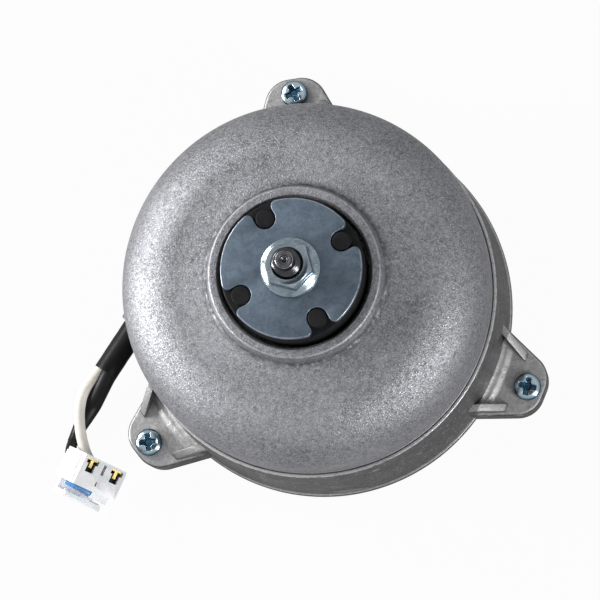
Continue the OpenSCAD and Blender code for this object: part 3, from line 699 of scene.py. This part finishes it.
def sized_place(tree, size):
    place = add(tree, "ShaderNodeTexCoord").outputs["Object"]
    share = add(tree, "ShaderNodeMath", {0: 1000.0, 1: size}, operation="DIVIDE").outputs[0]
    return add(tree, "ShaderNodeVectorMath", {0: place, "Scale": share}, operation="SCALE").outputs[0]


def ranged(tree, value, low, high, to_low=0.0, to_high=1.0):
    return add(tree, "ShaderNodeMapRange", {0: value, 1: low, 2: high, 3: to_low, 4: to_high}).outputs[0]


def maths(tree, kind, a, b=0.0):
    return add(tree, "ShaderNodeMath", {0: a, 1: b}, operation=kind, use_clamp=False).outputs[0]


# %% Casting grain with sparkle
tree, given, out = effect("cast_grain", {"Size": 0.6, "Sparkle Share": 0.1}, ["Grain", "Sparkle", "Height"])
place = sized_place(tree, given["Size"])
fine = add(tree, "ShaderNodeTexNoise",
           {"Vector": place, "Scale": 1.0, "Detail": 3.0, "Roughness": 0.65}).outputs[0]
coarse = add(tree, "ShaderNodeTexNoise",
             {"Vector": place, "Scale": 0.37, "Detail": 2.0, "Roughness": 0.5}).outputs[0]
cells = add(tree, "ShaderNodeTexVoronoi", {"Vector": place, "Scale": 1.3, "Randomness": 1.0})
dot = ranged(tree, cells.outputs["Distance"], 0.28, 0.48, 1.0, 0.0)
lottery = add(tree, "ShaderNodeSeparateColor", {0: cells.outputs["Color"]}).outputs[0]
chosen = maths(tree, "GREATER_THAN", lottery, maths(tree, "SUBTRACT", 1.0, given["Sparkle Share"]))
tree.links.new(ranged(tree, maths(tree, "ADD", maths(tree, "MULTIPLY", fine, 0.65),
                                  maths(tree, "MULTIPLY", coarse, 0.35)),
                      0.36, 0.64), out["Grain"])
tree.links.new(maths(tree, "MULTIPLY", dot, chosen), out["Sparkle"])
tree.links.new(maths(tree, "ADD", fine, maths(tree, "MULTIPLY", cells.outputs["Distance"], 0.4)),
               out["Height"])
print("effect", tree.name)

# %% Cloudy patches
tree, given, out = effect("cloudy_patches", {"Size": 12.0}, ["Patch"])
cloud = add(tree, "ShaderNodeTexNoise",
            {"Vector": sized_place(tree, given["Size"]), "Scale": 1.0, "Detail": 5.0,
                                         "Roughness": 0.6, "Distortion": 0.6}).outputs[0]
tree.links.new(ranged(tree, cloud, 0.33, 0.67), out["Patch"])
print("effect", tree.name)

# %% A ring of painted highlight and shade
tree, given, out = effect("painted_light_ring", {"Radius": 25.0, "Height": 73.0, "Width": 0.5}, ["Mask"])
xyz = add(tree, "ShaderNodeSeparateXYZ", {0: sized_place(tree, 1.0)}).outputs
around_axis = maths(tree, "SQRT", maths(tree, "ADD", maths(tree, "MULTIPLY", xyz[0], xyz[0]),
                                        maths(tree, "MULTIPLY", xyz[1], xyz[1])))
off_r = maths(tree, "SUBTRACT", around_axis, given["Radius"])
off_z = maths(tree, "SUBTRACT", xyz[2], given["Height"])
away = maths(tree, "SQRT", maths(tree, "ADD", maths(tree, "MULTIPLY", off_r, off_r),
                                 maths(tree, "MULTIPLY", off_z, off_z)))
near = add(tree, "ShaderNodeMapRange", {0: away, 1: 0.0, 2: given["Width"], 3: 1.0, 4: 0.0}).outputs[0]
ragged = add(tree, "ShaderNodeTexNoise",
             {"Vector": sized_place(tree, 1.6), "Scale": 1.0, "Detail": 4.0}).outputs[0]
tree.links.new(maths(tree, "MULTIPLY", near, ranged(tree, ragged, 0.3, 0.55)), out["Mask"])
print("effect", tree.name)

# %% Fine scratches
tree, given, out = effect("fine_scratches", {"Size": 3.0}, ["Mask"])
lines = []
for turn_z_by, threshold in ((0.5, 0.63), (2.2, 0.64)):
    bent = add(tree, "ShaderNodeMapping",
               {"Vector": sized_place(tree, given["Size"]), "Rotation": (0.3, 0.2, turn_z_by),
                                           "Scale": (0.12, 4.5, 1.0)}).outputs[0]
    streak = add(tree, "ShaderNodeTexNoise",
                 {"Vector": bent, "Scale": 1.0, "Detail": 3.0, "Roughness": 0.7}).outputs[0]
    lines.append(ranged(tree, streak, threshold, threshold + 0.05))
tree.links.new(maths(tree, "MAXIMUM", *lines), out["Mask"])
print("effect", tree.name)

# %% Settled dust and a small nick
tree, given, out = effect("settled_dust", {"Amount": 0.3}, ["Mask"])
facing = add(tree, "ShaderNodeSeparateXYZ",
             {0: add(tree, "ShaderNodeNewGeometry").outputs["Normal"]}).outputs[2]
specks = add(tree, "ShaderNodeTexNoise",
             {"Vector": sized_place(tree, 2.5), "Scale": 1.0, "Detail": 6.0, "Roughness": 0.7}).outputs[0]
settled = maths(tree, "MULTIPLY", ranged(tree, facing, 0.2, 0.95), ranged(tree, specks, 0.4, 0.75))
tree.links.new(maths(tree, "MULTIPLY", settled, given["Amount"]), out["Mask"])

tree, given, out = effect("small_nick", {"X": 0.0, "Y": 0.0, "Z": 0.0, "Size": 0.5}, ["Mask"])
spot = add(tree, "ShaderNodeCombineXYZ", {0: given["X"], 1: given["Y"], 2: given["Z"]}).outputs[0]
wobble = add(tree, "ShaderNodeTexNoise",
             {"Vector": sized_place(tree, 0.5), "Scale": 1.0, "Detail": 2.0}).outputs[0]
gap = add(tree, "ShaderNodeVectorMath", {0: sized_place(tree, 1.0), 1: spot},
          operation="DISTANCE").outputs["Value"]
tree.links.new(add(tree, "ShaderNodeMapRange",
                   {0: maths(tree, "ADD", gap, maths(tree, "MULTIPLY", wobble, 0.5)),
                                                1: given["Size"], 2: maths(tree, "ADD", given["Size"], 0.25),
                                                3: 1.0, 4: 0.0}).outputs[0], out["Mask"])
print("effects settled_dust and small_nick")

# %% [markdown]
# ## Finishes
#
# A finish starts the same way everywhere: two tones in cloudy patches, a grain that varies tone
# and roughness, and a bump. Layers are then laid over it by a mask, the way wear and dust lie over
# the real surface; other layers are painted highlights and painted shade along edges and in a fillet.
# Values that are the same all over are set on the shader itself.

# %% Start a finish and lay layers on it
def place_effect(tree, name, **values):
    node = tree.nodes.new("ShaderNodeGroup")
    node.node_tree = bpy.data.node_groups[name]
    for label, value in values.items():
        node.inputs[label.replace("_", " ")].default_value = value
    return node.outputs


def mixed(tree, mask, a, b):
    return add(tree, "ShaderNodeMix", {0: mask, 6: a, 7: b}, data_type="RGBA").outputs[2]


def finish(name, dark, light, metallic, rough, grain, bump, patch=12.0, grain_share=0.35, **constants):
    material = bpy.data.materials.new(name)
    material.use_nodes = True
    tree = material.node_tree
    shader = tree.nodes["Principled BSDF"]
    shader.inputs["Metallic"].default_value = metallic
    for label, value in constants.items():
        shader.inputs[label.replace("_", " ")].default_value = value
    patches = place_effect(tree, "cloudy_patches", Size=patch)["Patch"]
    grains = place_effect(tree, "cast_grain", Size=grain)
    share = maths(tree, "ADD", maths(tree, "MULTIPLY", patches, 1 - grain_share),
                  maths(tree, "MULTIPLY", grains["Grain"], grain_share))
    tree.links.new(mixed(tree, share, (*dark, 1), (*light, 1)), shader.inputs["Base Color"])
    tree.links.new(ranged(tree, share, 0.0, 1.0, *rough), shader.inputs["Roughness"])
    relief = add(tree, "ShaderNodeBump", {"Height": grains["Height"], "Distance": bump * mm, "Strength": 1.0})
    tree.links.new(relief.outputs[0], shader.inputs["Normal"])
    return material


def laid_over(material, mask, colour, roughness):
    tree = material.node_tree
    shader = tree.nodes["Principled BSDF"]
    under = shader.inputs["Base Color"].links[0].from_socket
    tree.links.new(mixed(tree, mask, under, (*colour, 1)), shader.inputs["Base Color"])
    under = shader.inputs["Roughness"].links[0].from_socket
    blend = add(tree, "ShaderNodeMix", {0: mask, 2: under, 3: roughness}, data_type="FLOAT").outputs[0]
    tree.links.new(blend, shader.inputs["Roughness"])


# Lays a colour over a finish by a mask: real wear and dust, and also painted highlights and painted shade.
def wear_and_painted_light(material, name, colour, roughness, output="Mask", **values):
    laid_over(material, place_effect(material.node_tree, name, **values)[output], colour, roughness)


finishes = {}

# %% Blasted aluminium of the dome
dome = finish("blasted_aluminium", (0.11, 0.11, 0.119), (0.44, 0.44, 0.47), 0.6, (0.54, 0.38), 0.5, 0.15,
              patch=18, grain_share=0.8, Specular_IOR_Level=0.4)
wear_and_painted_light(dome, "cast_grain", (0.46, 0.46, 0.48), 0.36, output="Sparkle", Size=0.5, Sparkle_Share=0.3)
wear_and_painted_light(dome, "cast_grain", (0.8, 0.8, 0.82), 0.28, output="Sparkle", Size=0.4, Sparkle_Share=0.06)
for x, y, z, size in ((49.2, -2.5, 61.0, 0.45), (-21.3, 34.8, 61.0, 0.5)):
    wear_and_painted_light(dome, "small_nick", (0.9, 0.9, 0.9), 0.25, X=x, Y=y, Z=z, Size=size)
# Painted highlights: bright rings along the outer and inner top edges of the boss.
for radius, height, width in ((25.0, 73.3, 0.4), (22.6, 73.2, 0.25)):
    wear_and_painted_light(dome, "painted_light_ring", (0.46, 0.46, 0.47), 0.34, Radius=radius, Height=height, Width=width)
# Painted shade: a dark ring in the fillet at the foot of the boss.
wear_and_painted_light(dome, "painted_light_ring", (0.07, 0.07, 0.08), 0.7, Radius=26.3, Height=69.2, Width=2.0)
# Painted highlight: a bright line along the foot of the front shell at the joint.
wear_and_painted_light(dome, "painted_light_ring", (0.6, 0.6, 0.62), 0.3, Radius=54.7, Height=37.3, Width=0.7)
wear_and_painted_light(dome, "settled_dust", (0.55, 0.54, 0.52), 0.8, Amount=0.10)
finishes["cast_front"] = dome
print("finish", dome.name)

# %% As-cast aluminium of the body
skin = finish("as_cast_aluminium", (0.066, 0.064, 0.066), (0.142, 0.139, 0.142), 0.5, (0.5, 0.36), 0.8, 0.07,
              patch=7, grain_share=0.5, Specular_IOR_Level=0.4)
tree = skin.node_tree
# Painted light: faces that turn upward, such as the lug tops, are laid lighter than the wall.
facing = add(tree, "ShaderNodeSeparateXYZ",
             {0: add(tree, "ShaderNodeNewGeometry").outputs["Normal"]}).outputs[2]
painted_top_light = ranged(tree, place_effect(tree, "cast_grain", Size=0.8)["Grain"], 0.0, 1.0, 0.55, 0.95)
laid_over(skin, maths(tree, "MULTIPLY", ranged(tree, facing, 0.7, 0.96), painted_top_light), (0.62, 0.61, 0.605), 0.42)
wear_and_painted_light(skin, "cast_grain", (0.32, 0.32, 0.325), 0.35, output="Sparkle", Size=0.7, Sparkle_Share=0.12)
# Painted highlight: a bright line along the convex step on each lug.
wear_and_painted_light(skin, "painted_light_ring", (0.42, 0.42, 0.42), 0.34, Radius=60.0, Height=9.15, Width=1.2)
# Painted highlights: two bright lines along the body's rim at the joint.
for radius, height, width in ((55.75, 35.9, 0.9), (55.1, 36.0, 0.5)):
    wear_and_painted_light(skin, "painted_light_ring", (0.62, 0.62, 0.63), 0.28, Radius=radius, Height=height, Width=width)
xyz = add(tree, "ShaderNodeSeparateXYZ", {0: sized_place(tree, 1.0)}).outputs
out_from_axis = maths(tree, "SQRT", maths(tree, "ADD", maths(tree, "MULTIPLY", xyz[0], xyz[0]),
                                          maths(tree, "MULTIPLY", xyz[1], xyz[1])))
# Painted highlight: the tops of the lug ribs are laid lighter.
painted_rib_top_light = maths(tree, "MULTIPLY", ranged(tree, xyz[2], 9.9, 10.3), ranged(tree, out_from_axis, 58.6, 59.4))
laid_over(skin, maths(tree, "MULTIPLY", painted_rib_top_light, 0.4), (0.42, 0.415, 0.41), 0.4)
wear_and_painted_light(skin, "fine_scratches", (0.34, 0.34, 0.34), 0.35, Size=4.0)
wear_and_painted_light(skin, "settled_dust", (0.40, 0.39, 0.37), 0.75, Amount=0.2)
finishes["cast_body"] = skin
print("finish", skin.name)

# %% Zinc plate of the disc, the nut and the screws
plate_zinc = finish("zinc_plated_sheet", (0.092, 0.125, 0.166), (0.205, 0.256, 0.315), 0.6, (0.42, 0.33),
                    0.9, 0.014,
                    patch=3.5, grain_share=0.4)
wear_and_painted_light(plate_zinc, "fine_scratches", (0.12, 0.145, 0.17), 0.3, Size=1.3)
# Painted highlight: a bright line along the disc's top edge.
wear_and_painted_light(plate_zinc, "painted_light_ring", (0.45, 0.5, 0.55), 0.25, Radius=20.4, Height=80.0, Width=0.4)
finishes["zinc_disc"] = plate_zinc

nut_zinc = finish("zinc_plated_nut", (0.22, 0.27, 0.30), (0.46, 0.54, 0.59), 1.0, (0.24, 0.14), 0.9, 0.008,
                  patch=4, grain_share=0.2)
wear_and_painted_light(nut_zinc, "fine_scratches", (0.7, 0.75, 0.8), 0.25, Size=1.2)
finishes["zinc_nut"] = nut_zinc

screw_zinc = finish("zinc_plated_screw", (0.46, 0.58, 0.64), (0.66, 0.76, 0.80), 1.0, (0.22, 0.14), 0.7,
                    0.008,
                    patch=3, grain_share=0.2)
tree = screw_zinc.node_tree
# Painted reflection and shade: the cross recess and the low rim of each head are laid dark teal blue.
height_now = add(tree, "ShaderNodeSeparateXYZ", {0: sized_place(tree, 1.0)}).outputs[2]
laid_over(screw_zinc, ranged(tree, height_now, 10.9, 10.3), (0.05, 0.13, 0.20), 0.2)
wear_and_painted_light(screw_zinc, "fine_scratches", (0.5, 0.62, 0.7), 0.25, Size=1.0)
finishes["zinc_screw"] = screw_zinc
print("zinc finishes:", plate_zinc.name, nut_zinc.name, screw_zinc.name)

# %% Steels
turned_steel = finish("turned_steel", (0.055, 0.055, 0.058), (0.12, 0.12, 0.125), 1.0, (0.28, 0.18), 0.5,
                      0.008, patch=2.0)
# Painted light on the shaft's end: painted shade in a dark ring at the small step by the centre, and painted
# highlights in bright rings on the end face and its edge.
wear_and_painted_light(turned_steel, "painted_light_ring", (0.12, 0.12, 0.13), 0.5, Radius=1.5, Height=94.0, Width=0.35)
wear_and_painted_light(turned_steel, "painted_light_ring", (0.6, 0.6, 0.62), 0.2, Radius=2.55, Height=94.0, Width=0.3)
for radius in (0.95, 1.95):
    wear_and_painted_light(turned_steel, "painted_light_ring", (0.3, 0.3, 0.31), 0.24, Radius=radius, Height=94.0, Width=0.25)
wear_and_painted_light(turned_steel, "fine_scratches", (0.20, 0.20, 0.21), 0.4, Size=1.0)
finishes["bright_steel"] = turned_steel
finishes["bearing_steel"] = finish("ground_steel", (0.46, 0.46, 0.47), (0.58, 0.58, 0.60), 1.0, (0.2, 0.12),
                                   0.4, 0.004)
finishes["lamination"] = finish("stacked_sheet_steel", (0.09, 0.09, 0.10), (0.16, 0.16, 0.17), 0.8,
                                (0.6, 0.45), 0.5, 0.03)
finishes["magnet"] = finish("sintered_magnet", (0.05, 0.05, 0.055), (0.09, 0.09, 0.095), 0.3, (0.75, 0.6),
                            0.6, 0.05)
print("steel finishes:", turned_steel.name)

# %% Rubber, tubing and insulation
rubber_skin = finish("moulded_rubber", (0.005, 0.005, 0.0055), (0.014, 0.014, 0.015), 0.0, (0.7, 0.55), 0.5,
                     0.03, patch=3,
                     Specular_IOR_Level=0.15)
wear_and_painted_light(rubber_skin, "settled_dust", (0.1, 0.1, 0.1), 0.8, Amount=0.06)
finishes["black_rubber"] = rubber_skin
tubing = finish("soft_tubing", (0.005, 0.005, 0.006), (0.013, 0.013, 0.014), 0.0, (0.48, 0.34), 1.2, 0.03,
                patch=5,
                Specular_IOR_Level=0.2)
wear_and_painted_light(tubing, "settled_dust", (0.08, 0.08, 0.08), 0.7, Amount=0.06)
finishes["sleeve_plastic"] = tubing
ivory = finish("ivory_insulation", (0.74, 0.70, 0.62), (0.86, 0.83, 0.76), 0.0, (0.5, 0.38), 1.6, 0.02,
                                      patch=6, Specular_IOR_Level=0.4)
wear_and_painted_light(ivory, "settled_dust", (0.5, 0.47, 0.42), 0.7, Amount=0.15)
finishes["white_insulation"] = ivory
finishes["black_insulation"] = finish("black_insulation", (0.006, 0.006, 0.006), (0.016, 0.016, 0.016), 0.0,
                                      (0.48, 0.34), 1.4, 0.015, patch=6,
                                      Specular_IOR_Level=0.2)
print("soft finishes:", rubber_skin.name, tubing.name)

# %% Nylon, brass and the pieces inside
nylon = finish("white_nylon", (0.90, 0.91, 0.93), (0.96, 0.965, 0.98), 0.0, (0.42, 0.3), 1.2, 0.01, patch=5,
               Subsurface_Weight=0.08, Subsurface_Scale=0.002)
wear_and_painted_light(nylon, "settled_dust", (0.62, 0.60, 0.56), 0.6, Amount=0.12)
finishes["white_nylon"] = nylon
finishes["blue_nylon"] = finish("blue_nylon", (0.015, 0.13, 0.36), (0.05, 0.24, 0.52), 0.0, (0.4, 0.28), 1.0,
                                0.01, patch=4)
finishes["contact_brass"] = finish("stamped_brass", (0.20, 0.15, 0.05), (0.44, 0.35, 0.14), 0.9, (0.4, 0.26),
                                   0.5, 0.01, patch=1.5)
finishes["brass_cage"] = finish("pressed_brass", (0.45, 0.30, 0.09), (0.62, 0.44, 0.17), 1.0, (0.4, 0.3),
                                0.6, 0.01)
finishes["copper_wire"] = finish("enamelled_copper", (0.30, 0.09, 0.03), (0.50, 0.18, 0.06), 0.85,
                                 (0.4, 0.25), 0.4, 0.06, patch=3)
finishes["insulator"] = finish("moulded_insulator", (0.58, 0.52, 0.38), (0.72, 0.67, 0.54), 0.0,
                               (0.55, 0.42), 0.8, 0.02)
finishes["circuit_board"] = finish("lacquered_board", (0.01, 0.09, 0.035), (0.02, 0.15, 0.06), 0.0,
                                   (0.4, 0.25), 0.9, 0.02, patch=3)
finishes["board_parts"] = finish("chip_moulding", (0.02, 0.02, 0.02), (0.05, 0.05, 0.05), 0.0, (0.6, 0.45),
                                 0.4, 0.01, patch=3)
print("finishes:", len(finishes))

# %% Give every piece its finish
slot_of = {part["node"]: part["material_slot"] for part in frame["record"]["subparts"]}
for name, node in frame["nodes"].items():
    for place in node.material_slots:
        place.material = finishes[slot_of[name]]
for piece in (front_casting, body_casting, back_plate, rubber_piece, disc_piece, nut_piece, shaft_piece,
              screw_piece, sleeve_piece,
              inner_tube_piece, connector_piece, chamber_shade_piece, retainer_piece, white_wire, black_wire):
    piece.data.materials.clear()
    piece.data.materials.append(finishes[piece["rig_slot"]])
print("finishes are on", len(frame["nodes"]) + 15, "pieces")

# %% [markdown]
# ## Floor, backdrop and light
#
# The photograph was taken on white, with strong soft light from the low left, some from the upper
# left and weaker light from the lower right. The floor and the world look white to the camera
# only. Mirrored rays see them dimmer, so that bare metal keeps its dark and light sides.

# %% Pale floor that keeps the shadow
floor_mesh = bpy.data.meshes.new("pale_floor")
half, floor_z = 3.0, -0.00005
floor_mesh.from_pydata([(-half, -half, floor_z), (half, -half, floor_z), (half, half, floor_z),
                        (-half, half, floor_z)],
                       [], [(0, 1, 2, 3)])
floor = bpy.data.objects.new("pale_floor", floor_mesh)
bpy.context.scene.collection.objects.link(floor)
paper = bpy.data.materials.new("pale_paper")
paper.use_nodes = True
tree = paper.node_tree
tree.nodes.clear()
rays = add(tree, "ShaderNodeLightPath").outputs
matt = add(tree, "ShaderNodeBsdfDiffuse", {"Color": (0.42, 0.42, 0.42, 1)}).outputs[0]
glow = add(tree, "ShaderNodeEmission", {"Color": (1, 1, 1, 1), "Strength": 1.0}).outputs[0]
seen = maths(tree, "MAXIMUM", rays["Is Camera Ray"], rays["Is Transmission Ray"])
share = maths(tree, "MAXIMUM", maths(tree, "MULTIPLY", seen, 0.96),
              maths(tree, "MULTIPLY", rays["Is Glossy Ray"], 0.12))
surface = add(tree, "ShaderNodeMixShader", {0: share, 1: matt, 2: glow}).outputs[0]
add(tree, "ShaderNodeOutputMaterial", {"Surface": surface})
floor_mesh.materials.append(paper)
print("floor at", floor_z)

# %% White world with a plain level of light
world = bpy.data.worlds.new("studio")
bpy.context.scene.world = world
world.use_nodes = True
tree = world.node_tree
tree.nodes.clear()
rays = add(tree, "ShaderNodeLightPath").outputs
white = add(tree, "ShaderNodeBackground", {"Color": (1, 1, 1, 1), "Strength": 1.0}).outputs[0]
room = add(tree, "ShaderNodeBackground", {"Color": (0.94, 0.96, 1.0, 1), "Strength": 0.18}).outputs[0]
mirrored = add(tree, "ShaderNodeBackground", {"Color": (0.94, 0.97, 1.0, 1), "Strength": 0.6}).outputs[0]
seen = maths(tree, "MAXIMUM", rays["Is Camera Ray"], rays["Is Transmission Ray"])
unlit = add(tree, "ShaderNodeMixShader", {0: rays["Is Glossy Ray"], 1: room, 2: mirrored}).outputs[0]
add(tree, "ShaderNodeOutputWorld",
    {"Surface": add(tree, "ShaderNodeMixShader", {0: seen, 1: unlit, 2: white}).outputs[0]})
print("world", world.name)


# %% Soft lights
def soft_light(name, place, size, power, colour=(1, 1, 1)):
    lamp = bpy.data.lights.new(name, "AREA")
    lamp.shape = "DISK"
    lamp.size = size
    lamp.energy = power
    lamp.color = colour
    holder = bpy.data.objects.new(name, lamp)
    holder.location = place
    holder.rotation_euler = (Vector((0, 0, 0.05)) - Vector(place)).to_track_quat("-Z", "Y").to_euler()
    bpy.context.scene.collection.objects.link(holder)
    print("light", name, power, "W")


soft_light("low_left_softbox", (-1.1, 0.1, 0.4), 0.5, 14.5)
soft_light("upper_left_softbox", (-0.75, 0.65, 0.6), 0.45, 6.0)
soft_light("lower_right_softbox", (0.80, -0.75, 0.5), 0.35, 6.6)
soft_light("high_right_fill", (0.6, -0.6, 0.95), 0.35, 2.3)

# %% Dark card behind the camera
# Bare metal that faces a camera mirrors the dark room behind it, and this card stands in for that room.
card_mesh = bpy.data.meshes.new("dark_card")
card_x, card_y, card_z, card_r, card_sides = 0.10, -0.17, 1.0, 0.34, 24
card_mesh.from_pydata([(card_x + card_r * math.cos(math.tau * k / card_sides),
                        card_y + card_r * math.sin(math.tau * k / card_sides), card_z)
                       for k in range(card_sides)], [], [tuple(range(card_sides))])
card = bpy.data.objects.new("dark_card", card_mesh)
bpy.context.scene.collection.objects.link(card)
card.visible_camera = False
card_paint = bpy.data.materials.new("dark_card")
card_paint.use_nodes = True
card_paint.node_tree.nodes["Principled BSDF"].inputs["Base Color"].default_value = (0.06, 0.06, 0.065, 1)
card_paint.node_tree.nodes["Principled BSDF"].inputs["Roughness"].default_value = 0.9
card_mesh.materials.append(card_paint)
print("dark card above", round(card_mesh.vertices[0].co.z, 2), "m")

# %% Import json
import json
